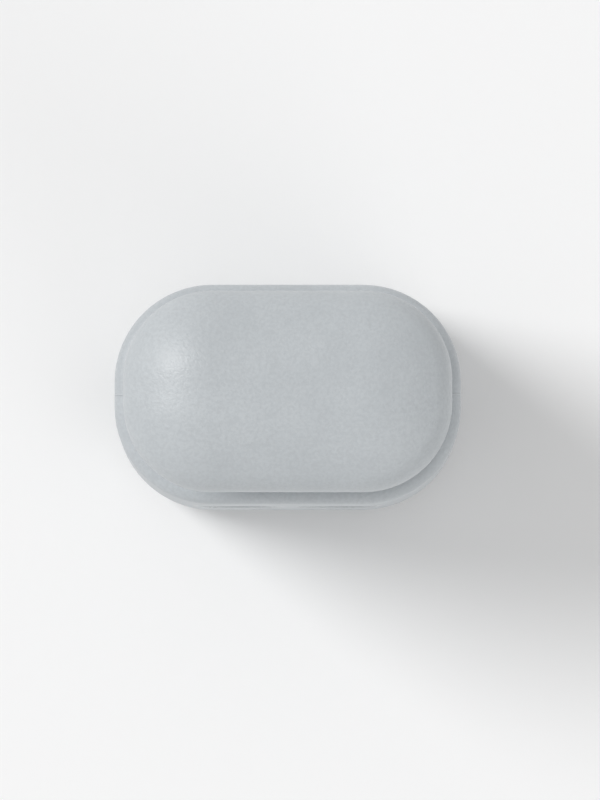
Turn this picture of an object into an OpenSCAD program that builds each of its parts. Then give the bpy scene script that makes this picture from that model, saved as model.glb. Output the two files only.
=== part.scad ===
// Two-hole cord lock: a soft-cornered barrel, a push-button plunger that slides in it, and a coil spring.
// The barrel stands on its closed end. Z is the push axis, X runs across the two cord holes and Y along them.
// The plunger is drawn fully out, where its hooks rest against the tops of the barrel's windows.

/* [Cord holes] */
// Diameter of each cord hole
cord_hole_d = 3; // [2.6:0.1:3.5]
// Web between the two cord holes
hole_web = 1; // [0.8:0.1:2]
// Rounding of the holes' mouths on the barrel
hole_round = 0.5; // [0.3:0.05:0.7]
// Rounding of the holes' mouths on the plunger, which grip the cord
grip_round = 0.25; // [0.15:0.05:0.4]

/* [Barrel] */
// Thickness of the barrel's wall
barrel_wall = 1.2; // [1:0.1:1.8]
// Radius of the barrel's upright corners
barrel_corner = 4; // [3.2:0.1:4.2]
// Thickness of the closed end
barrel_floor = 1.5; // [1.2:0.1:2.5]
// Rounding round the closed end
base_round = 1.8; // [1:0.1:2.2]
// Rounding of the rim's outer edge
rim_round = 0.5; // [0.3:0.05:0.6]
// Lead-in chamfer inside the rim
rim_chamfer = 0.3; // [0.2:0.05:0.4]
// Height of the rim above the plunger's cord holes when the plunger is out
rim_cover = 0.6; // [0.4:0.1:2]
// Diameter of the dimple that hides the moulding gate
gate_d = 2.4; // [1.6:0.1:3]
// Depth of that dimple
gate_depth = 0.25; // [0.15:0.05:0.4]

/* [Plunger] */
// How far the button pushes in
travel = 3.6; // [3.2:0.1:4.4]
// Depth of the stem, along the cords
stem_depth = 6.4; // [6:0.1:8]
// Material between a cord hole and the narrow end of the stem
stem_land = 2.3; // [2:0.1:3]
// Radius of the stem's upright corners
stem_corner = 2; // [1.6:0.1:2.2]
// Running gap between the stem and the barrel, on each side
slide_gap = 0.1; // [0.06:0.01:0.15]
// Gap under the stem when the button is pushed in
bottom_gap = 0.3; // [0.2:0.05:0.6]
// Gap between the button and the rim when the button is pushed in
button_gap = 0.2; // [0.1:0.05:0.5]
// How far the button stays inside the barrel's outline
button_inset = 0.4; // [0.2:0.05:0.6]
// Height of the button
button_h = 3; // [2.6:0.1:3.8]
// Straight height of the button's side, below the dome
button_side = 0.8; // [0.6:0.1:1]
// Radius of the dome's shoulder
button_shoulder = 1.5; // [1:0.1:1.6]
// Rounding of the button's lower edge
button_edge = 0.25; // [0.2:0.05:0.5]
// Fillet between the button and the stem
neck_fillet = 0.35; // [0.2:0.05:0.5]
// Lead-in chamfer round the stem's lower end
stem_lead = 0.3; // [0.2:0.05:0.5]

/* [Snap hooks] */
// Length of each spring tongue, up from the stem's lower end
tongue_l = 6.4; // [5:0.1:7.2]
// Width of each spring tongue and its hook
tongue_w = 2.2; // [1.8:0.1:2.4]
// Thickness of each tongue
tongue_t = 0.8; // [0.7:0.05:1.1]
// Width of the slit on each side of a tongue
slit_w = 0.5; // [0.4:0.05:0.6]
// Free space behind a tongue, for it to bend into
tongue_relief = 0.8; // [0.7:0.05:1]
// How far a hook stands out from the stem
hook_reach = 0.6; // [0.5:0.05:0.9]
// Height of a hook
hook_h = 1.5; // [1.2:0.1:2]
// Height of the flat tip of a hook
hook_tip = 0.4; // [0.3:0.05:0.6]
// Gap beside a hook in its window
window_play = 0.15; // [0.1:0.05:0.3]
// Gap left between a hook and the top of its window
stop_gap = 0.05; // [0.02:0.01:0.1]
// Corner radius of the windows and the hooks
window_corner = 0.4; // [0.2:0.05:0.6]

/* [Spring] */
// Outer diameter of the coil
spring_od = 4.4; // [3.8:0.1:4.8]
// Wire diameter
wire_d = 0.45; // [0.35:0.05:0.5]
// Number of turns
spring_turns = 6; // [4:1:7]
// Room for the spring when the button is pushed in
spring_in = 3.9; // [3.6:0.1:5]
// Clear space between the end turns and their neighbours
end_turn_gap = 0.45; // [0.42:0.01:0.5]
// Gap at each end of the spring
seat_gap = 0.04; // [0.02:0.01:0.1]
// Radial gap round the spring in its pocket
pocket_play = 0.15; // [0.1:0.05:0.3]
// Web between the spring pocket and the cord holes
pocket_web = 1; // [0.8:0.1:2]
// Height of the boss that centres the spring
boss_h = 1.6; // [1:0.1:2.2]
// Radial gap between that boss and the spring
boss_play = 0.15; // [0.1:0.05:0.3]
// Lead-in chamfer on top of that boss
boss_lead = 0.3; // [0.2:0.05:0.5]

/* [Hidden] */
$fn = 96;

// Length by which a cutting tool passes the face it cuts
past = 1;
// Share of a mouth's rounding that is used, so that it meets the face at a clear angle
mouth_share = 0.8;

// Plan: oblongs with round corners. The bore follows the stem, and the button follows the barrel.
hole_r = cord_hole_d / 2;
hole_x = (cord_hole_d + hole_web) / 2;
stem_end = hole_x + hole_r + stem_land;
stem_face = stem_depth / 2;
stem_centre = [stem_end - stem_corner, stem_face - stem_corner];
bore_corner = stem_corner + slide_gap;
barrel_end = stem_end + slide_gap + barrel_wall;
barrel_face = stem_face + slide_gap + barrel_wall;
barrel_centre = [barrel_end - barrel_corner, barrel_face - barrel_corner];
button_corner = barrel_corner - button_inset;

// Heights with the button pushed in, when the cord holes line up
pocket_top_in = barrel_floor + spring_in;
hole_z = pocket_top_in + pocket_web + hole_r;
stem_bottom_in = barrel_floor + bottom_gap;

// Heights with the plunger out, as it is drawn
stem_bottom = stem_bottom_in + travel;
pocket_top = pocket_top_in + travel;
plunger_hole_z = hole_z + travel;
barrel_h = plunger_hole_z + hole_r + rim_cover;
button_z = barrel_h + button_gap + travel;
// The stem runs up into the button
stem_top = button_z + button_side / 2;

// Crown radius of the dome, tangent to its shoulder and level on the axis
dome_h = button_h - button_side;
dome_reach = button_corner - button_shoulder;
crown_r = (pow(dome_reach, 2) + pow(dome_h, 2) - pow(button_shoulder, 2)) / (2 * (dome_h - button_shoulder));

// Spring at rest
spring_length = spring_in + travel - 2 * seat_gap;
coil_r = (spring_od - wire_d) / 2;
pocket_r = spring_od / 2 + pocket_play;
boss_r = spring_od / 2 - wire_d - boss_play;
end_pitch = wire_d + end_turn_gap;
active_turns = spring_turns - 2;
active_pitch = (spring_length - wire_d - 2 * end_pitch) / active_turns;
rings_per_turn = 20;
wire_sides = 8;
ring_count = spring_turns * rings_per_turn + 1;

// Colours
moulded_grey = [0.74, 0.75, 0.765];
spring_steel = [0.62, 0.63, 0.65];

// Carries a profile round an oblong whose corners are centred on c and its mirror images, and fills the
// middle from z1 to z2. The profile's x runs out from the corners' centres, and its y is height.
module around_plan(c, z1, z2) {
    for (half = [0, 180])
        rotate([0, 0, half]) {
            translate([c.x, c.y, 0])
                rotate_extrude(angle = 90) children();
            translate([-c.x, c.y, 0])
                rotate([0, 0, 90]) rotate_extrude(angle = 90) children();
            translate([-c.x, c.y, 0])
                rotate([90, 0, 90]) linear_extrude(2 * c.x) children();
            translate([c.x, c.y, 0])
                rotate([90, 0, 0]) linear_extrude(2 * c.y) children();
        }
    translate([-c.x, -c.y, z1]) cube([2 * c.x, 2 * c.y, z2 - z1]);
}

// What a rounding of radius r takes off a profile's corner, whose sides run along -x and +y
module corner_waste(r) {
    difference() {
        translate([-r, 0]) square(r);
        translate([-r, r]) circle(r);
    }
}

// A slice of a disc between two directions less than a half turn apart
module disc_slice(r, from, to) {
    intersection() {
        circle(r);
        polygon([
            [0, 0],
            2 * r * [cos(from), sin(from)],
            2 * r * [cos((from + to) / 2), sin((from + to) / 2)],
            2 * r * [cos(to), sin(to)]
        ]);
    }
}

// Two bores side by side from -y to y, at height z
module cord_bores(z, y) {
    for (side = [-1, 1])
        translate([side * hole_x, -y, z])
            rotate([-90, 0, 0])
                cylinder(r = hole_r, h = 2 * y);
}

// Mouths of the cord holes, rounded by r, on the faces at y and -y, at height z
module cord_mouths(z, y, r) {
    depth = mouth_share * r;
    mouth_r = hole_r + r - sqrt(r * r - depth * depth);
    for (side = [-1, 1], face = [-1, 1])
        translate([side * hole_x, face * y, z])
            rotate([90 * face, 0, 0])
                rotate_extrude() {
                    difference() {
                        square([hole_r + r, depth]);
                        translate([hole_r + r, depth]) circle(r);
                    }
                    translate([0, -past]) square([mouth_r, past]);
                }
}

// Outer section of the barrel
module barrel_profile() {
    difference() {
        square([barrel_corner, barrel_h]);
        translate([barrel_corner, 0]) corner_waste(base_round);
        translate([barrel_corner, barrel_h]) mirror([0, 1]) corner_waste(rim_round);
    }
}

// Section of the bore, which opens out at the rim
module bore_profile() {
    polygon([
        [0, barrel_floor],
        [bore_corner, barrel_floor],
        [bore_corner, barrel_h - rim_chamfer],
        [bore_corner + rim_chamfer + past, barrel_h + past],
        [0, barrel_h + past]
    ]);
}

// Block with rounded corners across a narrow end, from x1 to x2 on that side and from z1 to z2 in height
module end_block(side, w, x1, x2, z1, z2) {
    r = window_corner;
    rotate([90, 0, 90 * side])
        translate([0, 0, x1])
            linear_extrude(x2 - x1) {
                translate([-w / 2, z1 + r]) square([w, z2 - z1 - 2 * r]);
                translate([r - w / 2, z1]) square([w - 2 * r, z2 - z1]);
                for (y = [r - w / 2, w / 2 - r], z = [z1 + r, z2 - r])
                    translate([y, z]) circle(r);
            }
}

// Window in each narrow end, in which a hook travels
module hook_windows() {
    top = stem_bottom + hook_h + stop_gap;
    for (side = [-1, 1])
        end_block(side, tongue_w + 2 * window_play, stem_end - tongue_t, barrel_end + past, barrel_floor, top);
}

// Boss on the closed end, which centres the spring
module spring_boss() {
    translate([0, 0, barrel_floor])
        rotate_extrude()
            polygon([
                [0, 0],
                [boss_r, 0],
                [boss_r, boss_h - boss_lead],
                [boss_r - boss_lead, boss_h],
                [0, boss_h]
            ]);
}

// Cup with the cord holes, the hook windows and a boss for the spring
module barrel() {
    color(moulded_grey) {
        difference() {
            around_plan(barrel_centre, 0, barrel_h) barrel_profile();
            around_plan(stem_centre, barrel_floor, barrel_h + past) bore_profile();
            cord_bores(hole_z, barrel_face + past);
            cord_mouths(hole_z, barrel_face, hole_round);
            hook_windows();
            translate([0, 0, -past]) cylinder(d = gate_d, h = gate_depth + past);
        }
        spring_boss();
    }
}

// Section of the stem, with a lead-in below and a fillet up to the button
module stem_profile() {
    neck_z = button_z - neck_fillet;
    polygon([
        [0, stem_bottom],
        [stem_corner - stem_lead, stem_bottom],
        [stem_corner, stem_bottom + stem_lead],
        [stem_corner, stem_top],
        [0, stem_top]
    ]);
    difference() {
        translate([0, neck_z]) square([stem_corner + neck_fillet, stem_top - neck_z]);
        translate([stem_corner + neck_fillet, neck_z]) circle(neck_fillet);
    }
}

// Section of the button: a short side, a shoulder and a crown
module button_profile() {
    crown_z = button_z + button_h - crown_r;
    shoulder_z = button_z + button_side;
    tangent = atan2(shoulder_z - crown_z, dome_reach);
    difference() {
        translate([0, button_z]) square([button_corner, button_side]);
        translate([button_corner, button_z]) corner_waste(button_edge);
    }
    translate([dome_reach, shoulder_z]) disc_slice(button_shoulder, 0, tangent);
    intersection() {
        translate([0, crown_z]) disc_slice(crown_r, tangent, 90);
        translate([0, shoulder_z]) square([button_corner, dome_h]);
    }
}

// Slits and free space that leave a tongue standing in each narrow end of the stem, with a round end behind its root
module tongue_slits() {
    outer = tongue_w / 2 + slit_w;
    inner_x = stem_end - tongue_t - tongue_relief;
    root_r = tongue_relief / 2;
    slit_h = tongue_l - root_r;
    for (side = [-1, 1])
        rotate([0, 0, side > 0 ? 0 : 180])
            translate([inner_x, 0, stem_bottom]) {
                translate([0, outer, 0])
                    rotate([90, 0, 0])
                        linear_extrude(2 * outer) {
                            translate([0, -past]) square([tongue_relief, slit_h + past]);
                            translate([root_r, slit_h]) circle(root_r);
                        }
                for (y = [-outer, tongue_w / 2])
                    translate([0, y, -past])
                        cube([tongue_relief + tongue_t + past, slit_w, slit_h + past]);
            }
}

// Hook on each tongue: a flat top that stops against its window, and a sloping underside
module hooks() {
    root = stem_end - tongue_t / 2;
    tip = stem_end + hook_reach;
    for (side = [-1, 1])
        intersection() {
            end_block(side, tongue_w, root, tip, stem_bottom, stem_bottom + hook_h);
            translate([0, tongue_w, stem_bottom])
                rotate([90, 0, 0])
                    linear_extrude(2 * tongue_w)
                        polygon([
                            [side * (root - past), 0],
                            [side * root, 0],
                            [side * tip, hook_h - hook_tip],
                            [side * tip, hook_h + past],
                            [side * (root - past), hook_h + past]
                        ]);
        }
}

// Push button and stem with the cord holes, the spring pocket and the snap hooks
module plunger() {
    color(moulded_grey) {
        difference() {
            union() {
                around_plan(stem_centre, stem_bottom, stem_top) stem_profile();
                around_plan(barrel_centre, button_z, button_z + button_h) button_profile();
            }
            cord_bores(plunger_hole_z, stem_face + past);
            cord_mouths(plunger_hole_z, stem_face, grip_round);
            translate([0, 0, stem_bottom - past])
                cylinder(r = pocket_r, h = pocket_top - stem_bottom + past);
            tongue_slits();
        }
        hooks();
    }
}

// Height of the wire's centre after a number of turns, with a finer pitch in the first and last turn
function wire_z(turn) =
    wire_d / 2
    + end_pitch * min(turn, 1)
    + active_pitch * max(0, min(turn - 1, active_turns))
    + end_pitch * max(0, turn - 1 - active_turns);

function wire_centre(i) =
    let (turn = i / rings_per_turn)
    [coil_r * cos(360 * turn), coil_r * sin(360 * turn), wire_z(turn)];

// One ring of points round the wire, square to the coil's mean slope
function wire_ring(i) =
    let (
        angle = 360 * i / rings_per_turn,
        slope = atan2(active_pitch, 2 * PI * coil_r),
        out = [cos(angle), sin(angle), 0],
        up = [sin(slope) * sin(angle), -sin(slope) * cos(angle), cos(slope)]
    )
    [for (j = [0 : wire_sides - 1])
        let (turn = 360 * j / wire_sides)
        wire_centre(i) + wire_d / 2 * (cos(turn) * out + sin(turn) * up)];

// Triangles that join ring i to the next one
function wire_skin(i) =
    [for (j = [0 : wire_sides - 1])
        let (
            a = i * wire_sides + j,
            b = i * wire_sides + (j + 1) % wire_sides
        )
        each [[a, b, b + wire_sides], [a, b + wire_sides, a + wire_sides]]];

// Clear space between turns, from the wire's centres at least half a turn apart
function least_turn_gap() =
    min([for (i = [0 : ring_count - 1], j = [i + rings_per_turn / 2 : ring_count - 1])
        norm(wire_centre(i) - wire_centre(j))]) - wire_d;

// Compression spring, squeezed between the barrel's floor and the plunger
module spring() {
    last = (ring_count - 1) * wire_sides;
    color(spring_steel)
        translate([0, 0, barrel_floor + seat_gap])
            polyhedron(
                points = [for (i = [0 : ring_count - 1]) each wire_ring(i)],
                faces = concat(
                    [for (i = [0 : ring_count - 2]) each wire_skin(i)],
                    [for (j = [1 : wire_sides - 2]) [0, j + 1, j]],
                    [for (j = [1 : wire_sides - 2]) [last, last + j, last + j + 1]]
                )
            );
}

echo("least gap between the spring's turns, in mm", least_turn_gap());

barrel();
plunger();
spring();
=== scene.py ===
import math

import bpy
import numpy as np
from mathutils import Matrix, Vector


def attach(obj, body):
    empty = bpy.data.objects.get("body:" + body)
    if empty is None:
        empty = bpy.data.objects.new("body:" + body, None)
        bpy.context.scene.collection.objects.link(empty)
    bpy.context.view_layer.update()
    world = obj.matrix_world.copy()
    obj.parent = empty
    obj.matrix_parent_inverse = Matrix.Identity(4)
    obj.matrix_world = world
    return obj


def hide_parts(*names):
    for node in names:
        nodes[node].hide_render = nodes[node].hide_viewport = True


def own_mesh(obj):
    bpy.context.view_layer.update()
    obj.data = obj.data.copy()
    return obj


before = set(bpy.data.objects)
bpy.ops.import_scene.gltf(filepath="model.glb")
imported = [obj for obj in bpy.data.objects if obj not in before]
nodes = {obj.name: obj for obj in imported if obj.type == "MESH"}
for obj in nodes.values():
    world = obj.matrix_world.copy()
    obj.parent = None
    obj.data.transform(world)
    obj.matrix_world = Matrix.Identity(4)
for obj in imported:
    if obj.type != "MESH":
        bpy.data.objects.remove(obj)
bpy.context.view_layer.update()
scene = bpy.context.scene
mm = 0.001
print("frame loaded:", ", ".join(sorted(nodes)))


# one output socket of a shader tree, which can be added, multiplied and so on
class Flow:
    def __init__(self, tree, socket=None):
        self.tree = tree
        self.socket = socket

    # a node of any kind: its settings are set first, then its sockets are filled or linked
    def make(self, kind, settings=None, inputs=None, output=0):
        made = self.tree.nodes.new("ShaderNode" + kind)
        for name, value in (settings or {}).items():
            setattr(made, name, value)
        for name, value in (inputs or {}).items():
            if isinstance(value, Flow):
                self.tree.links.new(value.socket, made.inputs[name])
            else:
                made.inputs[name].default_value = value
        return Flow(self.tree, made.outputs[output])

    def other(self, output):                          # another output of the same node
        return Flow(self.tree, self.socket.node.outputs[output])

    def reckon(self, operation, a, b=0.0):
        return self.make("Math", {"operation": operation}, {0: a, 1: b})

    def __add__(self, b):
        return self.reckon("ADD", self, b)

    def __sub__(self, b):
        return self.reckon("SUBTRACT", self, b)

    def __rsub__(self, a):
        return self.reckon("SUBTRACT", a, self)

    def __mul__(self, b):
        return self.reckon("MULTIPLY", self, b)

    def __abs__(self):
        return self.reckon("ABSOLUTE", self)

    __radd__, __rmul__ = __add__, __mul__

    def most(self, b):                                # the larger of the two
        return self.reckon("MAXIMUM", self, b)

    def ease(self, low, high):                        # 0 below low, 1 above high, smooth between
        return self.make("MapRange", {"interpolation_type": "SMOOTHSTEP"},
                         {"Value": self, "From Min": low, "From Max": high})

    def blend(self, a, b):                            # colour a where this is 0, colour b where it is 1
        return self.make("Mix", {"data_type": "RGBA"}, {0: self, 6: a, 7: b}, 2)


# a new material with its shader, and the surface's place in millimetres
def startMaterial(name):
    material = bpy.data.materials.new(name)
    material.use_nodes = True
    tree = material.node_tree
    shader = next(n for n in tree.nodes if n.type == "BSDF_PRINCIPLED")
    place = Flow(tree).make("TexCoord", output="Object")
    place = place.make("VectorMath", {"operation": "SCALE"}, {0: place, "Scale": 1 / mm})
    return material, shader, place


# fills or links the shader's sockets; _ in a name stands for a space
def feed(shader, **values):
    for name, value in values.items():
        socket = shader.inputs[name.replace("_", " ")]
        if isinstance(value, Flow):
            value.tree.links.new(value.socket, socket)
        else:
            socket.default_value = value


def noise(place, scale, detail=2.0, rough=0.5):
    return place.make("TexNoise", None, {"Vector": place, "Scale": scale, "Detail": detail, "Roughness": rough})


# noise drawn out into lines: turned by an angle round Z, then squeezed on each axis
def lines(place, scale, squeeze, angle=0.0):
    drawn = place.make("Mapping", {"vector_type": "POINT"},
                       {"Vector": place, "Rotation": (0, 0, math.radians(angle)), "Scale": squeeze})
    return noise(drawn, scale, rough=0.6)


# camera: almost straight down on the button, as the lock is seen end-on
cameraSet = {"elevation": 88.5, "lens": 900.0, "sensor": 36.0, "picture": (600, 800),
             "aim": (0.5 * mm, -0.3 * mm, 16 * mm), "widthSeen": 24.5 * mm, "clip": (0.01, 10)}
pictureWide, pictureTall = cameraSet["picture"]
halfView = cameraSet["sensor"] / 2 / cameraSet["lens"] * pictureWide / pictureTall     # per unit of distance
away = cameraSet["widthSeen"] / 2 / halfView
tilt = math.radians(cameraSet["elevation"])
back = Vector((0, -math.cos(tilt), math.sin(tilt)))
camera = bpy.data.objects.new("camera", bpy.data.cameras.new("camera"))
scene.collection.objects.link(camera)
camera.data.lens = cameraSet["lens"]
camera.data.clip_start, camera.data.clip_end = cameraSet["clip"]
camera.location = Vector(cameraSet["aim"]) + back * away
camera.rotation_euler = (-back).to_track_quat("-Z", "Y").to_euler()
scene.camera = camera
print("camera set,", round(away / mm), "mm away")


# stage, in metres: pale matte floor, soft key from the upper left, weak fill, even surround
stageSet = {"floorColour": (0.93, 0.93, 0.93, 1), "floorHalf": 3.0, "surround": 0.56, "backdrop": 0.93,
            "keyFrom": (-0.90, 0.42, 1.08), "keySize": 0.6, "keyPower": 11.2,
            "fillFrom": (0.81, -0.96, 0.66), "fillSize": 1.2, "fillPower": 3.3, "lampAim": (0, 0, 0.01)}


def addLamp(name, start, size, power):
    lamp = bpy.data.objects.new(name, bpy.data.lights.new(name, "AREA"))
    lamp.data.shape = "DISK"
    lamp.data.size = size
    lamp.data.energy = power
    lamp.location = start
    lamp.rotation_euler = (Vector(stageSet["lampAim"]) - Vector(start)).to_track_quat("-Z", "Y").to_euler()
    scene.collection.objects.link(lamp)


addLamp("key", stageSet["keyFrom"], stageSet["keySize"], stageSet["keyPower"])
addLamp("fill", stageSet["fillFrom"], stageSet["fillSize"], stageSet["fillPower"])

half = stageSet["floorHalf"]
floorMesh = bpy.data.meshes.new("floor")
floorMesh.from_pydata([(-half, -half, 0), (half, -half, 0), (half, half, 0), (-half, half, 0)], [], [(0, 1, 2, 3)])
floor = bpy.data.objects.new("floor", floorMesh)
scene.collection.objects.link(floor)
floorPaint, floorShader = startMaterial("pale_floor")[:2]
feed(floorShader, Base_Color=stageSet["floorColour"], Roughness=1.0, Specular_IOR_Level=0.0)
floorMesh.materials.append(floorPaint)

world = bpy.data.worlds.new("surround")
scene.world = world
world.use_nodes = True
ray = Flow(world.node_tree).make("LightPath", output="Is Camera Ray")
seen = ray.most(ray.other("Is Glossy Ray")).most(ray.other("Is Transmission Ray"))
level = stageSet["surround"] + seen * (stageSet["backdrop"] - stageSet["surround"])
sky = next(n for n in world.node_tree.nodes if n.type == "BACKGROUND")
sky.inputs["Color"].default_value = (1, 1, 1, 1)
world.node_tree.links.new(level.socket, sky.inputs["Strength"])
scene.view_settings.view_transform = "Standard"
print("stage set")


# what all the moulded plastic shares, in millimetres: a Span is where a mask goes from none to full, a Show is
# how much of its colour comes through, and Dull and Polish are added to the roughness or taken off it
mouldSet = {"rough": 0.40, "ior": 1.48, "glow": 0.08, "glowReach": 0.4, "glowTint": (1.0, 0.95, 0.9),
            "edgeRound": 0.12, "edgeWear": 0.3, "edgeSpan": (0.02, 0.22), "edgePolish": 0.12,
            "openSpan": (0.45, 0.8), "wearPerMm": 1.7, "wearSpan": (0.3, 0.65), "wearShow": 0.45,
            "wearColour": (0.62, 0.64, 0.652, 1),
            # creases, found by ambient occlusion, get painted shade in the colour and a duller roughness
            "creaseReach": 1.2, "creaseSpan": (0.15, 0.8), "creaseShow": 0.35, "creaseDull": 0.1,
            "creaseColour": (0.36, 0.37, 0.375, 1),
            "cloudPerMm": 0.3, "cloudSpan": (0.3, 0.7), "cloudDull": 0.05,
            "grainPerMm": 7.0, "grainDepth": 0.022, "grainDull": 0.2, "smoothShare": 0.2, "textureFade": 0.3,
            # the grain's low spots are painted darker, as painted shade in its pits
            "pitSpan": (0.35, 0.65), "pitShow": 0.42, "pitColour": (0.425, 0.451, 0.470, 1),
            "speckPerMm": 5.0, "speckSpan": (0.72, 0.8), "speckShow": 0.2, "speckColour": (0.41, 0.43, 0.445, 1)}


# satin moulded plastic: clouded grey, spark-eroded grain with painted shade in its pits, rubbed edges, and painted
# shade with duller roughness in creases
def mouldedPlastic(name, look, marks):
    material, shader, place = startMaterial(name)
    x = place.make("SeparateXYZ", None, {0: place})
    spot = x, x.other("Y"), x.other("Z")
    facing = place.make("NewGeometry", output="Normal")
    soft = place.make("Bevel", {"samples": 8}, {"Radius": look["edgeRound"] * mm})      # small moulded radius
    wide = place.make("Bevel", {"samples": 8}, {"Radius": look["edgeWear"] * mm})
    agree = place.make("VectorMath", {"operation": "DOT_PRODUCT"}, {0: wide, 1: facing}, "Value")
    openness = place.make("AmbientOcclusion", {"samples": 12}, {"Distance": look["creaseReach"] * mm}, "AO")
    edge = (1 - agree).ease(*look["edgeSpan"]) * openness.ease(*look["openSpan"])
    # painted shade: the less open a spot is to its surroundings, the darker its colour and the duller its
    # roughness
    creaseShade = 1 - openness.ease(*look["creaseSpan"])

    # the mould is textured above one height, and left smoother below it
    above = spot[2].ease(look["textureFrom"] - look["textureFade"], look["textureFrom"])
    textured = look["smoothShare"] + above * (1 - look["smoothShare"])
    cloud = noise(place, look["cloudPerMm"], detail=3.0).ease(*look["cloudSpan"])
    grain = noise(place, look["grainPerMm"], detail=3.0, rough=0.6)
    # painted shade: where the grain's relief is low, the colour is darkened
    pitShade = (1 - grain.ease(*look["pitSpan"])) * textured
    speck = noise(place, look["speckPerMm"], detail=0.0).ease(*look["speckSpan"])
    wear = edge * noise(place, look["wearPerMm"], detail=4.0, rough=0.7).ease(*look["wearSpan"])

    colour = cloud.blend(look["deep"], look["pale"])
    # painted shade in the grain's pits
    colour = (pitShade * look["pitShow"]).blend(colour, look["pitColour"])
    colour = (speck * look["speckShow"]).blend(colour, look["speckColour"])
    # painted shade darkens the colour in creases
    colour = (creaseShade * look["creaseShow"]).blend(colour, look["creaseColour"])
    colour = (wear * look["wearShow"]).blend(colour, look["wearColour"])
    rough = look["rough"] + (grain - 0.5) * look["grainDull"] + cloud * look["cloudDull"]
    rough = rough + creaseShade * look["creaseDull"] - edge * look["edgePolish"]
    relief = grain * textured * look["grainDepth"]
    colour, rough, relief = marks(place, spot, look, colour, rough, relief)

    bump = place.make("Bump", None, {"Strength": 1.0, "Distance": mm, "Height": relief, "Normal": soft})
    feed(shader, Base_Color=colour, Roughness=rough, Normal=bump, IOR=look["ior"], Subsurface_Weight=look["glow"],
         Subsurface_Radius=look["glowTint"], Subsurface_Scale=look["glowReach"] * mm)
    return material


# cords rub the mouths of their holes smooth: 1 near a hole's axis, 0 past the rubbed ring, in uneven patches
def cordRub(place, spot, look):
    across, up = abs(spot[0]) - look["holeAt"][0], spot[2] - look["holeAt"][1]
    ring = 1 - (across * across + up * up).ease(look["rubFrom"] ** 2, look["rubTo"] ** 2)
    return ring * noise(place, look["rubPerMm"], detail=3.0).ease(*look["rubSpan"])


def dress(piece, material):
    piece.data.materials.clear()
    piece.data.materials.append(material)


# barrel, in millimetres
barrelLook = {**mouldSet, "pale": (0.516, 0.546, 0.567, 1), "deep": (0.480, 0.509, 0.530, 1), "textureFrom": 0.0,
              "seamSpan": (0.024, 0.06), "seamHigh": 0.018, "seamShow": 0.2, "seamPolish": 0.05,
              "narrowEnd": (6.4, 6.5), "closedEnd": (1.2, 1.3),
              "scuffRise": 0.5, "scuffPerMm": 3.0, "scuffSqueeze": (0.25, 4.0, 1.0), "scuffTurn": 25,
              "scuffSpan": (0.5, 0.7), "scuffShow": 0.35, "scuffDull": 0.08, "scuffDeep": 0.004,
              "holeAt": (2.0, 7.9), "rubFrom": 1.6, "rubTo": 2.3, "rubPerMm": 1.3, "rubSpan": (0.2, 0.6),
              "rubShow": 0.2, "rubPolish": 0.14, "rubSmooth": 0.7}


def barrelMarks(place, spot, look, colour, rough, relief):
    x, y, z = spot
    # parting line of the mould's two halves, up the middle of each narrow end and across the closed end
    outside = abs(x).ease(*look["narrowEnd"]).most(1 - z.ease(*look["closedEnd"]))
    seam = (1 - abs(y).ease(*look["seamSpan"])) * outside
    # the closed end is scuffed by what it rests on
    scratches = lines(place, look["scuffPerMm"], look["scuffSqueeze"], look["scuffTurn"]).ease(*look["scuffSpan"])
    scuff = (1 - z.ease(0.0, look["scuffRise"])) * scratches
    rubbed = cordRub(place, spot, look)
    colour = (rubbed * look["rubShow"]).blend(colour, look["wearColour"])
    colour = (seam * look["seamShow"]).blend(colour, look["wearColour"])
    colour = (scuff * look["scuffShow"]).blend(colour, look["wearColour"])
    rough = rough - seam * look["seamPolish"] + scuff * look["scuffDull"] - rubbed * look["rubPolish"]
    relief = relief * (1 - rubbed * look["rubSmooth"]) + seam * look["seamHigh"] - scuff * look["scuffDeep"]
    return colour, rough, relief


dress(nodes["barrel"], mouldedPlastic("barrel_satin", barrelLook, barrelMarks))
print("barrel dressed")


# plunger, in millimetres: only the button is textured
plungerLook = {**barrelLook, "pale": (0.522, 0.552, 0.572, 1), "deep": (0.486, 0.515, 0.535, 1),
               "textureFrom": 17.4, "holeAt": (2.0, 11.5), "rubPolish": 0.1,
               "crownSpan": (18.8, 20.3), "thumbPerMm": 0.5, "thumbSpan": (0.3, 0.65), "thumbPolish": 0.08,
               "hairRise": (19.4, 20.2), "hairPerMm": (2.0, 2.3), "hairTurn": (35, -50),
               "hairSqueeze": ((0.12, 7.0, 1.0), (0.1, 8.0, 1.0)), "hairSpan": ((0.68, 0.74), (0.69, 0.75)),
               "hairShow": 0.18, "hairDeep": 0.003,
               "streakPerMm": 9.0, "streakSqueeze": (1.0, 1.0, 0.06), "streakSpan": (0.52, 0.72),
               "streakShow": 0.25, "streakPolish": 0.1, "streakDeep": 0.004}


def plungerMarks(place, spot, look, colour, rough, relief):
    z = spot[2]
    # the thumb polishes the crown and leaves a few hairlines on it, in two directions
    polish = z.ease(*look["crownSpan"]) * noise(place, look["thumbPerMm"], detail=3.0).ease(*look["thumbSpan"])
    ways = zip(look["hairPerMm"], look["hairSqueeze"], look["hairTurn"], look["hairSpan"])
    one, two = (lines(place, scale, squeeze, turn).ease(*span) for scale, squeeze, turn, span in ways)
    hair = one.most(two) * z.ease(*look["hairRise"])
    # sliding leaves fine streaks along the stem
    stem = 1 - z.ease(look["textureFrom"] - look["textureFade"], look["textureFrom"])
    streak = lines(place, look["streakPerMm"], look["streakSqueeze"]).ease(*look["streakSpan"]) * stem
    rubbed = cordRub(place, spot, look)
    colour = (streak * look["streakShow"]).blend(colour, look["wearColour"])
    colour = (rubbed * look["rubShow"]).blend(colour, look["wearColour"])
    colour = (hair * look["hairShow"]).blend(colour, look["wearColour"])
    rough = rough - polish * look["thumbPolish"] - streak * look["streakPolish"] - rubbed * look["rubPolish"]
    return colour, rough, relief - streak * look["streakDeep"] - hair * look["hairDeep"]


dress(nodes["plunger"], mouldedPlastic("plunger_satin", plungerLook, plungerMarks))
print("plunger dressed")


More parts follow.
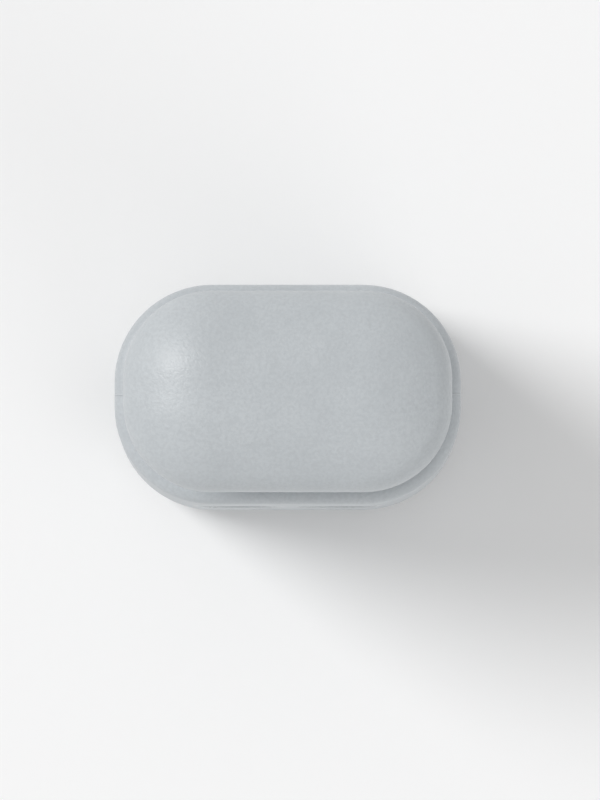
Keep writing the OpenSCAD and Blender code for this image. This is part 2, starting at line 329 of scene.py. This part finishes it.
# a grid of points as a mesh: rows are joined to rows, closed round, and capped at both ends
def gridPiece(name, points):
    rows, across = points.shape[:2]
    index = np.arange(rows * across).reshape(rows, across)
    right = np.roll(index, -1, 1)
    quads = np.stack([index[:-1], right[:-1], right[1:], index[1:]], -1).reshape(-1, 4)
    mesh = bpy.data.meshes.new(name)
    mesh.from_pydata(points.reshape(-1, 3), [], quads.tolist() + [index[0, ::-1].tolist(), index[-1].tolist()])
    mesh.polygons.foreach_set("use_smooth", np.ones(len(mesh.polygons), bool))
    mesh.update()
    piece = bpy.data.objects.new(name, mesh)
    scene.collection.objects.link(piece)
    return piece


# spring, in millimetres
springSet = {"outerD": 4.4, "wireD": 0.45, "turns": 6, "endPitch": 0.9, "length": 7.42, "pressedLength": 3.82,
             "foot": 1.54, "ringsPerTurn": 56, "sides": 18, "cutRound": 0.06,
             "dark": (0.60, 0.605, 0.61, 1), "bright": (0.76, 0.765, 0.77, 1), "rough": 0.3,
             "linesAlong": 2.2, "lineSqueeze": (4.0, 4.0, 0.25), "lineSpan": (0.3, 0.7), "lineDull": 0.14,
             "lineDeep": 0.004, "filmPerMm": 0.8, "filmSpan": (0.4, 0.75), "filmShow": 0.3, "filmDull": 0.1,
             "filmColour": (0.48, 0.46, 0.43, 1)}


# centre line: the angle runs evenly, and the height adds up the pitch, which is finer in the first and last turn;
# a round section stands square to that line, spanned by the outward direction and the line's own upward normal
def springCoil(s):
    turn = np.linspace(0, s["turns"], s["turns"] * s["ringsPerTurn"] + 1)
    wireR, coilR = s["wireD"] / 2, (s["outerD"] - s["wireD"]) / 2
    active = s["turns"] - 2
    pitch = (s["length"] - s["wireD"] - 2 * s["endPitch"]) / active
    endTurns = np.minimum(turn, 1) + np.maximum(0, turn - 1 - active)
    rise = s["endPitch"] * endTurns + pitch * np.clip(turn - 1, 0, active)
    angle = 2 * np.pi * turn
    centre = np.stack([coilR * np.cos(angle), coilR * np.sin(angle), s["foot"] + wireR + rise], -1)
    path = np.gradient(centre, axis=0)
    path /= np.linalg.norm(path, axis=1, keepdims=True)
    out = np.stack([np.cos(angle), np.sin(angle), np.zeros_like(angle)], -1)
    up = np.cross(out, path)
    # the cut ends are a little rounded: one smaller ring past each end
    cut = s["cutRound"]
    centre = np.concatenate([centre[:1] - path[:1] * cut, centre, centre[-1:] + path[-1:] * cut])
    out, up = (np.concatenate([a[:1], a, a[-1:]]) for a in (out, up))
    size = np.full(len(centre), wireR)
    size[[0, -1]] -= cut
    around = np.linspace(0, 2 * np.pi, s["sides"], endpoint=False)[:, None]
    points = centre[:, None] + size[:, None, None] * (np.cos(around) * out[:, None] + np.sin(around) * up[:, None])
    # each point's place on the wire: round the section, and along the length
    run = np.concatenate([[0], np.cumsum(np.linalg.norm(np.diff(centre, axis=0), axis=1))])
    wire = np.stack(np.broadcast_arrays(np.cos(around[:, 0]), np.sin(around[:, 0]), run[:, None]), -1)
    return points * mm, wire


# drawn wire: lines along its length, and a thin film of oil and dust in patches
def drawnSteel(s):
    material, shader, place = startMaterial("drawn_steel")
    wire = place.make("Attribute", {"attribute_name": "wirePlace"}, None, "Vector")
    drawn = lines(wire, s["linesAlong"], s["lineSqueeze"])
    film = noise(place, s["filmPerMm"], detail=3.0).ease(*s["filmSpan"])
    colour = drawn.ease(*s["lineSpan"]).blend(s["dark"], s["bright"])
    colour = (film * s["filmShow"]).blend(colour, s["filmColour"])
    rough = s["rough"] + drawn * s["lineDull"] + film * s["filmDull"]
    bump = place.make("Bump", None, {"Strength": 1.0, "Distance": mm, "Height": drawn * s["lineDeep"]})
    feed(shader, Base_Color=colour, Roughness=rough, Normal=bump, Metallic=1.0)
    return material


coilPoints, wirePlace = springCoil(springSet)
spring = gridPiece("spring_coil", coilPoints)
along = spring.data.attributes.new("wirePlace", "FLOAT_VECTOR", "POINT")
along.data.foreach_set("vector", wirePlace.astype(np.float32).ravel())
dress(spring, drawnSteel(springSet))
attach(spring, "barrel")
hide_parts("spring")
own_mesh(spring)
print("spring wound:", len(spring.data.polygons), "faces")


# moulding gate, in millimetres: the torn stub in the dimple under the closed end
gateSet = {"radius": 0.42, "height": 0.16, "dimple": 0.25, "sunk": 0.01, "rings": 14, "spokes": 40, "tipAt": 0.97,
           "ripple": 0.07, "fineRipple": 0.04, "slant": 0.28, "slantTurn": 0.8, "ragged": 0.08}
gateLook = {**barrelLook, "grainDepth": 0.03, "rough": 0.6}


# the radius shrinks from the root to the tip as a power of the cosine, with an outline of three and seven waves;
# the drop below the dimple's floor grows as a power of the sine, less a ragged tear that slants across the tip
def gateStub(s):
    rise = np.linspace(0, s["tipAt"] * np.pi / 2, s["rings"])[:, None]
    spoke = np.linspace(0, 2 * np.pi, s["spokes"], endpoint=False)[None, :]
    ripple = 1 + s["ripple"] * np.sin(3 * spoke + 0.6) + s["fineRipple"] * np.sin(7 * spoke + 2.0) * np.cos(rise)
    radius = s["radius"] * np.cos(rise) ** 0.45 * ripple
    slant = s["slant"] * (0.5 + 0.5 * np.cos(spoke - s["slantTurn"])) * np.sin(rise) ** 2
    tear = 1 - slant + s["ragged"] * np.sin(5 * spoke) * np.sin(2 * rise)
    drop = s["dimple"] + s["sunk"] - s["height"] * np.sin(rise) ** 0.6 * tear
    x, y = radius * np.cos(-spoke), radius * np.sin(-spoke)
    return np.stack([x, y, drop], -1) * mm


gate = gridPiece("gate_stub", gateStub(gateSet))
dress(gate, mouldedPlastic("gate_torn", gateLook, barrelMarks))
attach(gate, "barrel")
print("gate stub added")
